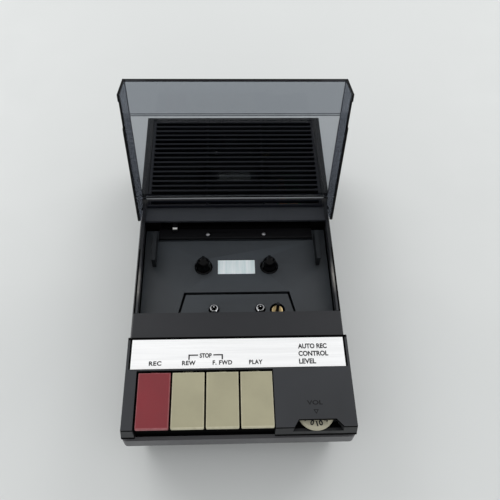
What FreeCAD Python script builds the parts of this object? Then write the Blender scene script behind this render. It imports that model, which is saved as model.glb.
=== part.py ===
"""Slim portable cassette recorder with piano keys, standing with its smoked lid open.

Millimetres. +Z is up and the keys face -Y. The origin is the middle of the footprint,
on the surface that the rubber feet stand on. Every driving dimension is in the sheet.
"""
import FreeCAD, Part
import math
import os
import re
import Sketcher
from FreeCAD import Placement, Rotation, Vector

DIMENSIONS = {
    # Heights above the table.
    "foot_height": 2.5,
    "band_low": 25.6,
    "ledge": 35.0,
    "facet_low": 38.0,
    "floor_top": 37.0,
    "bridge_top": 47.8,
    "rim_top": 48.8,
    "deck_top": 50.0,
    # Outline of the case. Slopes are sideways growth per millimetre of depth.
    "half_long": 117.2,
    "half_wide": 64.7,
    "deck_half": 63.2,
    "deck_end": 116.0,
    "side_slope": 0.1,
    "end_slope": 0.083,
    "bottom_half": 58.0,
    "bottom_front": 109.0,
    "bottom_rear": 113.0,
    "wall": 2.2,
    "cavity_half": 60.5,
    "lip_half": 62.3,
    "step_y": -62.34,
    "shoulder_y": 40.9,
    "rim_half": 61.75,
    "inner_half": 59.5,
    "inner_slope": 0.05,
    # Cassette well.
    "cover_rear": -45.9,
    "well_rear": 22.6,
    "bridge_rear": 33.8,
    "floor_thick": 2.0,
    "shelf_front": 14.8,
    "shelf_top": 39.2,
    "shelf_half": 51.9,
    "rib_x": 52.8,
    "rib_wide": 2.4,
    "rib_front": -6.3,
    "rib_rear": 15.6,
    "rib_top": 45.9,
    "slot_half": 50.0,
    "slot_low": 39.6,
    "slot_high": 46.2,
    "shelf_screw_x": 18.6,
    "shelf_screw_y": 17.6,
    "shelf_screw_radius": 1.45,
    "card_half": 12.0,
    "card_front": -11.8,
    "card_rear": -1.4,
    "card_thick": 0.4,
    # Trapezoid head plate in the floor of the well.
    "plate_rear": -27.1,
    "plate_rear_half": 31.95,
    "plate_knee": -45.0,
    "plate_side_half": 36.3,
    "plate_front": -57.4,
    "plate_gap": 1.3,
    "plate_rear_gap": 1.7,
    "feeler_x": -40.4,
    "feeler_half": 1.5,
    "feeler_low": 40.2,
    "feeler_high": 41.8,
    "feeler_tip": 20.4,
    # Reels, capstan and locating pins.
    "hub_spacing": 42.5,
    "hub_y": -6.5,
    "spindle_tip": 46.4,
    "spindle_hole": 5.9,
    "capstan_x": 25.0,
    "capstan_y": -38.5,
    "capstan_radius": 1.0,
    "pin_spacing": 28.7,
    "pin_y": -37.5,
    "pin_radius": 2.65,
    "pin_hole": 1.75,
    "pin_post": 1.25,
    "running_gap": 0.05,
    "clearance": 0.3,
    # Keys.
    "key_first_x": -46.95,
    "key_pitch": 18.9,
    "key_wide": 17.8,
    "key_front": -115.7,
    "key_rear": -84.0,
    "key_face": 2.0,
    "key_thick": 1.8,
    "lever_half": 2.0,
    "slot_left": -57.0,
    "slot_right": 19.2,
    "slot_rear": -82.8,
    "slot_wall_y": -113.6,
    "slot_wall_top": 41.6,
    "pivot_y": -76.0,
    "pivot_z": 41.5,
    "shaft_radius": 2.0,
    # Fascia strip.
    "strip_half": 60.7,
    "strip_front": -81.8,
    "strip_rear": -63.85,
    "strip_thick": 0.4,
    # Volume control.
    "wheel_x": 41.8,
    "wheel_y": -106.2,
    "wheel_radius": 10.5,
    "wheel_low": 44.4,
    "wheel_top": 47.0,
    "notch_floor": 43.9,
    "notch_rear": -111.8,
    # Speaker grille.
    "grille_half": 58.8,
    "grille_front": 34.0,
    "grille_rear": 113.6,
    "bar_pitch": 4.3,
    "bar_first": 34.3,
    "bar_wide": 1.5,
    "speaker_y": 74.0,
    "speaker_radius": 33.0,
    # Lid, measured from its hinge: reach forwards and height above the hinge when shut.
    "hinge_y": 34.65,
    "hinge_z": 45.93,
    "lid_open": 97.4,
    "lid_reach": 96.74,
    "lid_bend": 72.8,
    "lid_rear": 6.4,
    "lid_inside": 3.67,
    "lid_thick": 1.3,
    "skirt_thick": 1.25,
    "skirt_low": -10.2,
    "ear_rear": 3.0,
    "ear_top": 3.2,
    "lip_deep": 1.2,
    "lip_drop": 1.4,
    "skirt_step_front": -92.0,
    "skirt_step_rear": -74.0,
    "hinge_pin_radius": 1.5,
    # Drive.
    "chassis_low": 30.0,
    "chassis_thick": 1.2,
    "chassis_half": 52.0,
    "chassis_rear": 1.0,
    "flywheel_radius": 23.0,
    "flywheel_low": 21.0,
    "flywheel_thick": 5.0,
    "motor_x": -32.0,
    "motor_y": -40.0,
    "motor_radius": 15.0,
    "pulley_radius": 3.5,
    "belt_thick": 1.0,
    "belt_gap": 0.3,
    "belt_height": 2.2,
    # Head carriage and pinch roller.
    "carriage_low": 37.3,
    "carriage_thick": 1.2,
    "carriage_rear": -47.0,
    "roller_x": 26.0,
    "roller_y": -51.5,
    "roller_radius": 5.5,
    "axle_radius": 1.0,
    "stud_radius": 1.2,
    "arm_pivot_x": 38.0,
    "arm_pivot_y": -56.0,
    # Batteries: four C cells, two end to end in each of two rows.
    "bay_half": 28.0,
    "bay_front": 4.0,
    "bay_rear": 110.0,
    "bay_top": 30.0,
    "door_thick": 1.8,
    # Circuit board.
    "board_left": 31.5,
    "board_right": 49.5,
    "board_front": 15.0,
    "board_rear": 96.0,
    "board_low": 12.0,
    "board_thick": 1.6,
    "stand_left": 34.5,
    "stand_right": 46.5,
    "stand_radius": 2.2,
    # Fasteners, feet and sockets.
    "screw_x": 54.0,
    "screw_front": -67.0,
    "screw_rear": 109.8,
    "screw_radius": 1.4,
    "screw_head": 2.6,
    "screw_tip": 36.0,
    "boss_radius": 3.4,
    "foot_x": 47.0,
    "foot_y": 98.0,
    "foot_radius": 5.5,
    "jack_z": 30.0,
    "jack_radius": 1.8,
}

doc = FreeCAD.newDocument("cassette_recorder")
sheet = doc.addObject("Spreadsheet::Sheet", "dims")
for row, (alias, number) in enumerate(DIMENSIONS.items(), 1):
    sheet.set(f"A{row}", alias.replace("_", " "))
    sheet.set(f"B{row}", str(number))
    sheet.setAlias(f"B{row}", alias)
doc.recompute()

NODES = []
SIDES = (-1, 1)
JACK_XS = ("-44.5", "-36", "40")
PLANES = {"XY": "XY_Plane", "YZ": "YZ_Plane", "XZ": "XZ_Plane"}


def formula(text):
    """Turn a formula in the sheet's aliases into a FreeCAD expression."""
    def name(match):
        word = match.group(0)
        return "dims." + word if word in DIMENSIONS else word
    return re.sub(r"[a-z_]+", name, str(text))


def value(text):
    """The number that a formula gives, for shapes made with Part's functions."""
    return float(sheet.evalExpression(formula(text)))


def bind(item, prop, text):
    item.setExpression(prop, formula(text))


def node(label, item):
    """Give a finished sub-part the label that names its file."""
    item.Label = label
    NODES.append(item)
    return item


# ---------------------------------------------------------------- building blocks

def block(x_span, y_span, z_span):
    """A box between two formulas on each axis."""
    item = doc.addObject("Part::Box", "block")
    spans = (x_span, y_span, z_span)
    for prop, axis, (low, high) in zip(("Length", "Width", "Height"), "xyz", spans):
        bind(item, prop, f"({high}) - ({low})")
        bind(item, f"Placement.Base.{axis}", low)
    return item


def slab(half, y_span, z_span):
    """A box that is symmetric about the middle plane."""
    return block((f"-({half})", half), y_span, z_span)


def outward(side, inner, outer):
    """A span in x on one side of the middle plane, low end first."""
    if side > 0:
        return (inner, outer)
    return (f"-({outer})", f"-({inner})")


def centred(middle, half):
    return (f"{middle} - ({half})", f"{middle} + {half}")


TURNS = {
    "X": Rotation(Vector(0, 1, 0), 90),
    "Y": Rotation(Vector(1, 0, 0), -90),
    "Z": Rotation(),
}


def rod(radius, at, span, axis="Z", top_radius=None):
    """A cylinder, or a cone, along an axis. `at` holds the two other coordinates in order."""
    item = doc.addObject("Part::Cylinder" if top_radius is None else "Part::Cone", "rod")
    item.Placement = Placement(Vector(), TURNS[axis])
    if top_radius is None:
        bind(item, "Radius", radius)
    else:
        bind(item, "Radius1", radius)
        bind(item, "Radius2", top_radius)
    low, high = span
    bind(item, "Height", f"({high}) - ({low})")
    places = list(at)
    places.insert("XYZ".index(axis), low)
    for letter, place in zip("xyz", places):
        bind(item, f"Placement.Base.{letter}", place)
    return item


def frustum(low_half, low_y, high_half, high_y, z_span):
    """A drafted block, symmetric about the middle plane, from one rectangle up to another."""
    item = doc.addObject("Part::Wedge", "frustum")
    item.Placement = Placement(Vector(), Rotation(Vector(1, 0, 0), 90))
    for prop, text in (
        ("Xmin", f"-({low_half})"), ("Xmax", low_half),
        ("X2min", f"-({high_half})"), ("X2max", high_half),
        ("Ymin", z_span[0]), ("Ymax", z_span[1]),
        ("Zmin", f"-({low_y[1]})"), ("Zmax", f"-({low_y[0]})"),
        ("Z2min", f"-({high_y[1]})"), ("Z2max", f"-({high_y[0]})"),
    ):
        bind(item, prop, text)
    return item


def join(*pieces):
    item = doc.addObject("Part::MultiFuse", "joined")
    item.Shapes = list(pieces)
    item.Refine = True
    return item


def cut(base, *tools):
    item = doc.addObject("Part::Cut", "trimmed")
    item.Base = base
    item.Tool = tools[0] if len(tools) == 1 else join(*tools)
    return item


def group(*pieces):
    """Separate solids that share one node."""
    item = doc.addObject("Part::Compound", "group")
    item.Links = list(pieces)
    return item


def soften(base, radius, chosen, kind="Fillet"):
    """Round or chamfer the edges of a piece that `chosen` accepts."""
    doc.recompute()
    size = value(radius)
    item = doc.addObject(f"Part::{kind}", "softened")
    item.Base = base
    edges = enumerate(base.Shape.Edges, 1)
    item.Edges = [(number, size, size) for number, edge in edges if chosen(edge)]
    return item


def upright(edge):
    """True for an edge that climbs more than it runs sideways."""
    box = edge.BoundBox
    return box.ZLength > 2 * max(box.XLength, box.YLength)


def sketch(body, plane, offset, outline):
    """A closed outline of formula points on one of the body's origin planes."""
    item = body.newObject("Sketcher::SketchObject", "outline")
    support = [o for o in body.Origin.OriginFeatures if o.Role == PLANES[plane]][0]
    item.AttachmentSupport = (support, [""])
    item.MapMode = "FlatFace"
    bind(item, "AttachmentOffset.Base.z", offset)
    spots = [(value(across), value(along)) for across, along in outline]
    count = len(spots)
    for i in range(count):
        start = Vector(*spots[i], 0)
        end = Vector(*spots[(i + 1) % count], 0)
        item.addGeometry(Part.LineSegment(start, end), False)
    for i in range(count):
        item.addConstraint(Sketcher.Constraint("Coincident", i, 2, (i + 1) % count, 1))
    for i in range(count):
        for kind, number, text in zip(("DistanceX", "DistanceY"), spots[i], outline[i]):
            index = item.addConstraint(Sketcher.Constraint(kind, -1, 1, i, 1, number))
            item.setExpression(f"Constraints[{index}]", formula(text))
    return item


def pad(plane, outline, low, high, body=None):
    """Pad an outline between two heights above its plane, in a new body or on a given one."""
    body = body or doc.addObject("PartDesign::Body", "body")
    profile = sketch(body, plane, low, outline)
    feature = body.newObject("PartDesign::Pad", "pad")
    feature.Profile = profile
    bind(feature, "Length", f"({high}) - ({low})")
    return body


def turned(outline, x="0", y="0"):
    """Revolve an outline of (radius, height) points about an upright axis."""
    body = doc.addObject("PartDesign::Body", "body")
    profile = sketch(body, "XZ", "0", outline)
    feature = body.newObject("PartDesign::Revolution", "turn")
    feature.Profile = profile
    feature.ReferenceAxis = (profile, ["V_Axis"])
    feature.Angle = 360
    bind(body, "Placement.Base.x", x)
    bind(body, "Placement.Base.y", y)
    return body


def coil(radius, wire, pitch, height, place):
    """A coil spring about a line along X: a round wire swept along a helix."""
    path = doc.addObject("Part::Helix", "helix")
    bind(path, "Radius", radius)
    bind(path, "Pitch", pitch)
    bind(path, "Height", height)
    section = doc.addObject("Part::Circle", "wire")
    bind(section, "Radius", wire)
    section.Placement = Placement(Vector(value(radius), 0, 0), Rotation(Vector(1, 0, 0), 90))
    item = doc.addObject("Part::Sweep", "coil")
    item.Sections = [section]
    item.Spine = (path, ["Edge1"])
    item.Solid = True
    item.Frenet = True
    item.Placement = Placement(Vector(), TURNS["X"])
    for letter, text in zip("xyz", place):
        bind(item, f"Placement.Base.{letter}", text)
    return item


def screw_spots():
    """Where the four case screws stand."""
    return [(f"{side} * screw_x", y) for side in SIDES for y in ("screw_front", "screw_rear")]


# ---------------------------------------------------------------- case

def shell_at(height):
    """Half-width of the drafted deck sides at a height."""
    return f"deck_half + side_slope * (deck_top - {height})"


def rim_at(height):
    return f"rim_half + side_slope * (rim_top - {height})"


def upper_case():
    low_front = "-deck_end - end_slope * (deck_top - facet_low)"
    low_rear = "deck_end + end_slope * (deck_top - facet_low)"
    facets = ("facet_low", "deck_top")
    middle_y = ("step_y - 1", "shoulder_y + 1")
    front = frustum(shell_at("facet_low"), (low_front, "step_y"),
                    "deck_half", ("-deck_end", "step_y"), facets)
    middle = frustum(rim_at("facet_low"), middle_y, "rim_half", middle_y, ("facet_low", "rim_top"))
    rear = frustum(shell_at("facet_low"), ("shoulder_y", low_rear),
                   "deck_half", ("shoulder_y", "deck_end"), facets)
    lip_low = "ledge - 1.5"
    lip = slab("lip_half", ("-deck_end + 1.2", "deck_end - 1.2"), (lip_low, "facet_low + 1"))
    outside = join(front, middle, rear, lip)

    under_deck = "deck_top - wall"
    below = f"{lip_low} - 1"
    above = "deck_top + 5"
    well_y = ("step_y", "well_rear")
    hollows = [
        slab("cavity_half", ("-deck_end + 3", "step_y - 2.4"), (below, under_deck)),
        frustum("inner_half + inner_slope * 16.3", well_y,
                "inner_half - inner_slope * 6.2", well_y, (below, above)),
        slab("cavity_half", ("well_rear + wall", "bridge_rear - wall"),
             ("slot_low - 3", "bridge_top - wall")),
        slab("cavity_half", ("bridge_rear", "deck_end - 3"), (below, under_deck)),
        slab("grille_half", ("bridge_rear", "grille_rear"), (f"{under_deck} - 1", above)),
        slab("inner_half", ("well_rear - 0.1", "bridge_rear + 0.1"), ("bridge_top", above)),
        slab("half_wide + 5", ("step_y", "cover_rear + 0.15"), ("rim_top - 1.6", above)),
        slab("strip_half + 0.2", ("strip_front - 0.35", "strip_rear + 0.35"),
             ("deck_top - 0.35", above)),
        block(("slot_left", "slot_right"), ("-half_long - 5", "slot_rear"), ("ledge + 0.3", above)),
        slab("slot_half", ("well_rear - 1", "well_rear + wall + 0.5"), ("slot_low", "slot_high")),
    ]
    for side in SIDES:
        hollows.append(block(outward(side, "rim_half - 0.15", "half_wide + 5"),
                             ("well_rear + 0.7", "shoulder_y"), ("ledge", above)))
        hollows.append(rod("hinge_pin_radius", ("hinge_y", "hinge_z"),
                           outward(side, "inner_half - 4.5", "rim_half - 0.15"), "X"))
    notch = pad("XY", [("wheel_x - 9.9", "notch_rear"), ("wheel_x + 10.4", "notch_rear"),
                       ("wheel_x + 18", "-half_long - 3"), ("wheel_x - 15.4", "-half_long - 3")],
                "notch_floor", above)
    wheel_room = rod("wheel_radius + 0.5", ("wheel_x", "wheel_y"), ("notch_floor", under_deck))
    notch_shelf = block(("wheel_x - 14", "wheel_x + 17"), ("-deck_end + 2", "notch_rear + 1"),
                        ("notch_floor - 1.5", "notch_floor"))
    slot_wall = block(("slot_left - 1", "slot_right + 1"), ("slot_wall_y", "slot_wall_y + 1.4"),
                      (lip_low, "slot_wall_top"))
    guide_y = ("well_rear + wall + 0.6", "well_rear + 2 * wall + 0.6")
    guide = block(centred("feeler_x", "3.4"), guide_y, ("feeler_low - 1.2", "bridge_top - wall + 0.5"))
    guide_hole = block(centred("feeler_x", "feeler_half + clearance"), ("well_rear - 1", "well_rear + 7"),
                       ("feeler_low - clearance", "feeler_high + clearance"))
    bosses = [rod("boss_radius", at, ("band_low", "deck_top - 4")) for at in screw_spots()]
    pilots = [rod("screw_radius", at, ("band_low - 1", "deck_top - 8")) for at in screw_spots()]
    hollow = cut(outside, *hollows)
    case = cut(join(hollow, notch_shelf, slot_wall, guide, *bosses),
               notch, wheel_room, guide_hole, *pilots)
    node("upper_case", case)


def lower_case():
    long_y = ("-half_long", "half_long")
    inside_y = ("-half_long + wall", "half_long - wall")
    inside_half = "half_wide - 2.1"
    band = soften(slab("half_wide", long_y, ("band_low", "ledge")), "2.5", upright)
    hull = frustum("bottom_half", ("-bottom_front", "bottom_rear"), "half_wide - 0.2",
                   ("-half_long + 0.2", "half_long - 0.2"), ("foot_height", "band_low"))
    hull = soften(hull, "3", upright)
    room = frustum("bottom_half - wall", ("-bottom_front + wall", "bottom_rear - wall"),
                   inside_half, inside_y, ("foot_height + wall", "band_low"))
    upper_room = slab(inside_half, inside_y, ("band_low - 0.5", "ledge + 1"))
    shell = cut(join(band, hull), join(room, upper_room))

    bay_walls = slab("bay_half + 1.6", ("bay_front - 1.6", "bay_rear + 1.6"),
                     ("foot_height", "bay_top + 1.2"))
    bay_curb = slab("bay_half + 4.2", ("bay_front - 3", "bay_rear + 1.6"),
                    ("foot_height", "foot_height + 3.2"))
    bosses = []
    holes = []
    for at in screw_spots():
        bosses.append(rod("boss_radius", at, ("foot_height + 1", "band_low - 0.2")))
        holes.append(rod("screw_radius + 0.2", at, ("foot_height - 1", "band_low + 1")))
        holes.append(rod("screw_head + 0.2", at, ("foot_height - 1", "foot_height + 1.5")))
    sockets = [rod("jack_radius + 1.3", (x, "jack_z"), ("half_long - 4", "half_long + 1"), "Y")
               for x in JACK_XS]
    bay = slab("bay_half", ("bay_front", "bay_rear"), ("foot_height - 1", "bay_top"))
    door_top = "foot_height + door_thick + 0.2"
    door_y = ("bay_front - 1.4", "half_long + 5")
    door_room = slab("bay_half + 1.4", door_y, ("foot_height - 1", door_top))
    grooves = slab("bay_half + 2.6", door_y, ("foot_height + 0.7", door_top))
    stands = [rod("stand_radius", (x, y), ("foot_height + 1", "board_low"))
              for x in ("stand_left", "stand_right") for y in ("board_front + 4", "board_rear - 4")]
    case = cut(join(shell, bay_walls, bay_curb, *bosses, *stands),
               bay, door_room, grooves, *holes, *sockets)
    node("lower_case", case)


BAR_COUNT = 18
SLOT_SPANS = (("-56", "-20"), ("-18.5", "18.5"), ("20", "56"))


def speaker_grille():
    """Frame with cross bars. Two hidden ribs under the bars leave three slots side by side."""
    frame = slab("grille_half - 0.2", ("grille_front + 0.1", "grille_rear - 0.2"),
                 ("deck_top - 3.2", "deck_top - 0.3"))
    flange = slab("cavity_half - 0.3", ("grille_front + 2.8", "deck_end - 3.2"),
                  ("deck_top - 3.6", "deck_top - 2.5"))
    slots = []
    for i in range(BAR_COUNT):
        gap = (f"bar_first + {i} * bar_pitch + bar_wide / 2",
               f"bar_first + {i + 1} * bar_pitch - bar_wide / 2")
        slots.append(slab("grille_half - 2.2", gap, ("deck_top - 2.2", "deck_top + 1")))
        slots += [block(span, gap, ("deck_top - 4", "deck_top + 1")) for span in SLOT_SPANS]
    node("speaker_grille", cut(join(frame, flange), *slots))


def head_cover():
    """Flat bar over the heads, held by two lugs behind the front wall of the well."""
    top_y = ("step_y + 0.25", "cover_rear")
    plate = frustum(rim_at("(rim_top - 1.5)"), top_y, "rim_half", top_y, ("rim_top - 1.5", "rim_top"))
    lugs = [block(centred(x, "4"), ("step_y + 0.25", "step_y + 2.2"), ("floor_top + 0.1", "rim_top - 1"))
            for x in ("-45", "45")]
    node("head_cover", join(plate, *lugs))


def fascia_strip():
    node("fascia_strip", slab("strip_half", ("strip_front", "strip_rear"),
                              ("deck_top - 0.35", "deck_top - 0.35 + strip_thick")))


# ---------------------------------------------------------------- cassette well

def trapezoid(grow, rear, front):
    """Outline of the head plate, grown to each side by a margin."""
    rear_half = f"plate_rear_half + {grow}"
    side_half = f"plate_side_half + {grow}"
    return [(f"-({rear_half})", rear), (f"-({side_half})", "plate_knee"), (f"-({side_half})", front),
            (side_half, front), (side_half, "plate_knee"), (rear_half, rear)]


def deck_plate():
    """Floor of the well, with a rib each side that the cassette drops between."""
    through = ("floor_top - 5", "floor_top + 5")
    plate = slab("inner_half + 0.1", ("step_y + 0.4", "well_rear - 0.3"),
                 ("floor_top - floor_thick", "floor_top"))
    window = pad("XY", trapezoid("plate_gap", "plate_rear + plate_rear_gap", "plate_front - plate_gap"), *through)
    holes = [rod("spindle_hole", (f"{side} * hub_spacing / 2", "hub_y"), through) for side in SIDES]
    recess = slab("card_half + clearance", ("card_front - clearance", "card_rear + clearance"),
                  ("floor_top - 0.6", "floor_top + 1"))
    gap = slab("shelf_half", ("shelf_front - 1", "shelf_front"), ("floor_top - 1.4", "floor_top + 1"))
    ribs = [block(centred(f"{side} * rib_x", "rib_wide / 2"), ("rib_front", "rib_rear"),
                  ("floor_top - 1", "rib_top")) for side in SIDES]
    pegs = [rod("1.8", (f"{side} * 44", y), ("chassis_low + chassis_thick", "floor_top - 1"))
            for side in SIDES for y in ("-50", "-12")]
    node("deck_plate", join(cut(plate, window, recess, gap, *holes), *ribs, *pegs))


def head_plate():
    """Trapezoid cover plate that the locating pins and the capstan stand through."""
    through = ("floor_top - 5", "floor_top + 5")
    plate = pad("XY", trapezoid("0", "plate_rear", "plate_front"), "floor_top - 1.6", "floor_top - 0.1")
    holes = [rod("3.4", (f"{side} * pin_spacing / 2", "pin_y"), through) for side in SIDES]
    holes.append(rod("4.8", ("capstan_x", "capstan_y"), through))
    pegs = [rod("1.8", (x, "-53"), ("chassis_low + chassis_thick", "floor_top - 1")) for x in ("-30", "30")]
    node("head_plate", join(cut(plate, *holes), *pegs))


def rear_shelf():
    """Shelf along the back wall of the well that the cassette's back edge rests against."""
    def front_edge(edge):
        box = edge.BoundBox
        return (box.XLength > 50 and box.YMin < value("shelf_front + 0.1")
                and box.ZMin > value("shelf_top - 0.1"))

    shelf = slab("shelf_half - 1", ("shelf_front", "well_rear - 0.4"), ("floor_top", "shelf_top"))
    shelf = soften(shelf, "0.5", front_edge, "Chamfer")
    holes = [rod("1.2", (f"{side} * shelf_screw_x", "shelf_screw_y"), ("floor_top - 1", "shelf_top + 1"))
             for side in SIDES]
    node("rear_shelf", cut(shelf, *holes))


def small_fittings():
    node("tape_reflector", slab("card_half", ("card_front", "card_rear"),
                                ("floor_top - 0.6", "floor_top - 0.6 + card_thick")))
    pins = []
    screws = []
    for side in SIDES:
        # A bright collar with a sunk middle and a round-nosed post inside it.
        pins.append(turned([("0", "chassis_low + chassis_thick"), ("2", "chassis_low + chassis_thick"),
                            ("2", "floor_top - 1.6"), ("pin_radius", "floor_top - 1.4"),
                            ("pin_radius", "floor_top + 1.2"), ("pin_radius - 0.5", "floor_top + 1.7"),
                            ("pin_hole + 0.2", "floor_top + 1.7"), ("pin_hole", "floor_top + 1.4"),
                            ("pin_hole", "floor_top - 0.8"), ("pin_post", "floor_top - 0.8"),
                            ("pin_post", "floor_top + 2.2"), ("pin_post / 2", "floor_top + 2.9"),
                            ("0", "floor_top + 3.1")],
                           f"{side} * pin_spacing / 2", "pin_y"))
        screws.append(turned([("0", "floor_top"), ("1.2", "floor_top"), ("1.2", "shelf_top"),
                              ("shelf_screw_radius", "shelf_top"),
                              ("shelf_screw_radius - 0.2", "shelf_top + 0.6"),
                              ("0.6", "shelf_top + 0.9"), ("0.5", "shelf_top + 0.4"),
                              ("0", "shelf_top + 0.4")],
                             f"{side} * shelf_screw_x", "shelf_screw_y"))
    node("locating_pins", group(*pins))
    node("deck_screws", group(*screws))


def record_safety_feeler():
    """Plunger that finds the write-protect tab in the back edge of the cassette."""
    high = ("feeler_low", "feeler_high")
    shank = block(centred("feeler_x", "feeler_half"), ("feeler_tip", "well_rear + 6.4"), high)
    tip = rod("feeler_half", ("feeler_x", "feeler_tip"), high)
    head = block(centred("feeler_x", "2 * feeler_half"), ("well_rear + 5.4", "well_rear + 6.4"), high)
    node("record_safety_feeler", join(shank, tip, head))


# ---------------------------------------------------------------- lid

def shut_to_open(item):
    """Swing a piece drawn with the lid shut back to the open position about the hinge."""
    hinge = Vector(0, value("hinge_y"), value("hinge_z"))
    swing = Placement(hinge, Rotation(Vector(1, 0, 0), -value("lid_open"))).multiply(
        Placement(-hinge, Rotation()))
    item.Placement = swing.multiply(item.Placement)


def cassette_lid():
    """Clear panel with a skirt down each side, drawn shut and then swung open."""
    def ear_corner(edge):
        box = edge.BoundBox
        return box.ZLength < 0.2 and box.XLength < 2 and box.YMin > value("hinge_y + ear_rear - 0.1")

    front = "hinge_y - lid_reach"
    rear = "hinge_y - lid_rear"
    inside = "hinge_z + lid_inside"
    outside = "hinge_z + lid_inside + lid_thick"
    skirt_low = "hinge_z + skirt_low"
    ear_y = "hinge_y + ear_rear"
    wide = shell_at(f"({skirt_low})")
    outer = frustum(wide, (front, ear_y), "deck_half", (front, ear_y), (skirt_low, outside))
    room_y = (f"{front} - 1", f"{ear_y} + 1")
    room = frustum(f"{wide} - skirt_thick", room_y, "deck_half - skirt_thick", room_y, (skirt_low, inside))
    over_ear = slab("half_wide + 5", (rear, f"{ear_y} + 1"), ("hinge_z + ear_top", f"{outside} + 1"))
    skirt_step = slab("half_wide + 5", ("hinge_y + skirt_step_front", "hinge_y + skirt_step_rear"),
                      (f"{skirt_low} - 1", f"{skirt_low} + 1.3"))
    shell = cut(outer, room, over_ear, skirt_step)
    thick_front = slab("deck_half - skirt_thick", (front, "hinge_y - lid_bend"),
                       (f"{inside} - 0.5", f"{inside} + 0.2"))
    rear_lip = slab("inner_half - 0.4", (f"{rear} - lip_deep", rear),
                    (f"{inside} - lip_drop", f"{inside} + 0.2"))
    holes = [rod("hinge_pin_radius + running_gap", ("hinge_y", "hinge_z"),
                 outward(side, "inner_half - 1.5", "half_wide + 5"), "X") for side in SIDES]
    lid = soften(cut(join(shell, thick_front, rear_lip), *holes), "2.4", ear_corner)
    shut_to_open(lid)
    node("cassette_lid", lid)
    pins = [rod("hinge_pin_radius", ("hinge_y", "hinge_z"),
                outward(side, "inner_half - 0.5", "deck_half"), "X") for side in SIDES]
    node("lid_hinge_pins", group(*pins))


# ---------------------------------------------------------------- keys

KEYS = ("record_key", "rewind_key", "fast_forward_key", "play_key")


def piano_key(label, middle):
    """Key cap with a turned-down front, on a lever that swings about the key shaft."""
    def visible_edge(edge):
        box = edge.BoundBox
        on_front = box.YMax < value("key_front + 0.1") and box.ZLength > 1
        return on_front or box.ZMin > value("deck_top - 0.1")

    under = "deck_top - key_thick"
    cap = pad("YZ", [("key_front", "deck_top - key_face"), ("key_front + 1.6", "deck_top - key_face"),
                     ("key_front + 1.8", under), ("key_rear", under),
                     ("key_rear", "deck_top"), ("key_front", "deck_top")], *centred(middle, "key_wide / 2"))
    lever = pad("YZ", [("key_front + 8", f"{under} - 0.2"), ("key_rear", "pivot_z - 1"),
                       ("pivot_y", "pivot_z - 3"), ("pivot_y + 9", "pivot_z - 5"),
                       ("pivot_y + 9", "pivot_z - 2"), ("pivot_y + 2", "pivot_z + 2"),
                       ("key_rear - 1.8", f"{under} + 0.4")], *centred(middle, "lever_half"))
    hub = rod("shaft_radius + 2", ("pivot_y", "pivot_z"), centred(middle, "4"), "X")
    bore = rod("shaft_radius + running_gap", ("pivot_y", "pivot_z"), centred(middle, "9"), "X")
    node(label, cut(join(soften(cap, "0.7", visible_edge), lever, hub), bore))


def key_bank():
    middles = [f"(key_first_x + {i} * key_pitch)" for i in range(len(KEYS))]
    for label, middle in zip(KEYS, middles):
        piano_key(label, middle)
    node("key_shaft", rod("shaft_radius", ("pivot_y", "pivot_z"),
                          ("slot_left - 1.5", "slot_right + 3.3"), "X"))

    base_low = "chassis_low + chassis_thick"
    ear_thick = "1.4"
    base = block(("slot_left - 1.2", "slot_right + 3"), ("pivot_y - 6", "pivot_y + 5"),
                 (base_low, f"{base_low} + 1.2"))
    ears = [pad("YZ", [("pivot_y - 6", base_low), ("pivot_y + 5", base_low),
                       ("pivot_y + 3.5", "pivot_z + 4"), ("pivot_y - 3.5", "pivot_z + 4")],
                x_low, f"{x_low} + {ear_thick}") for x_low in ("slot_left - 1.2", "slot_right + 1.6")]
    bore = rod("shaft_radius", ("pivot_y", "pivot_z"), ("-70", "70"), "X")
    node("key_frame", cut(join(base, *ears), bore))

    coils = [coil("shaft_radius + 0.9", "0.35", "0.9", "4.5", (f"{middle} + 5", "pivot_y", "pivot_z"))
             for middle in middles]
    node("key_springs", group(*coils))

    bar_y = ("pivot_y + 7", "pivot_y + 10")
    bar = block(("-46", "18"), bar_y, (f"{base_low} + 0.3", f"{base_low} + 2"))
    teeth = [block((f"{middle} + 3.2", f"{middle} + 5"), bar_y, (f"{base_low} + 1", f"{base_low} + 5"))
             for middle in middles]
    node("latch_bar", join(bar, *teeth))


# ---------------------------------------------------------------- volume control

def volume_control():
    at = ("wheel_x", "wheel_y")
    disc = turned([("0", "wheel_low"), ("wheel_radius - 0.6", "wheel_low"),
                   ("wheel_radius", "wheel_low + 0.6"), ("wheel_radius", "wheel_top - 0.9"),
                   ("wheel_radius - 0.9", "wheel_top"), ("0", "wheel_top")], *at)
    hub = rod("3", at, ("wheel_low - 1.4", "wheel_low"))
    shaft = rod("1.5", at, ("wheel_low - 3.2", "wheel_low"))
    node("volume_wheel", join(disc, hub, shaft))
    can = rod("6.6", at, ("ledge", "wheel_low - 3.4"))
    tail = block(centred("wheel_x", "5"), ("wheel_y + 6", "wheel_y + 12"), ("ledge + 0.6", "ledge + 1.6"))
    bore = rod("1.5 + running_gap", at, ("ledge + 4.4", "wheel_low"))
    node("volume_pot", cut(join(can, tail), bore))


# ---------------------------------------------------------------- reels and capstan

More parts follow.
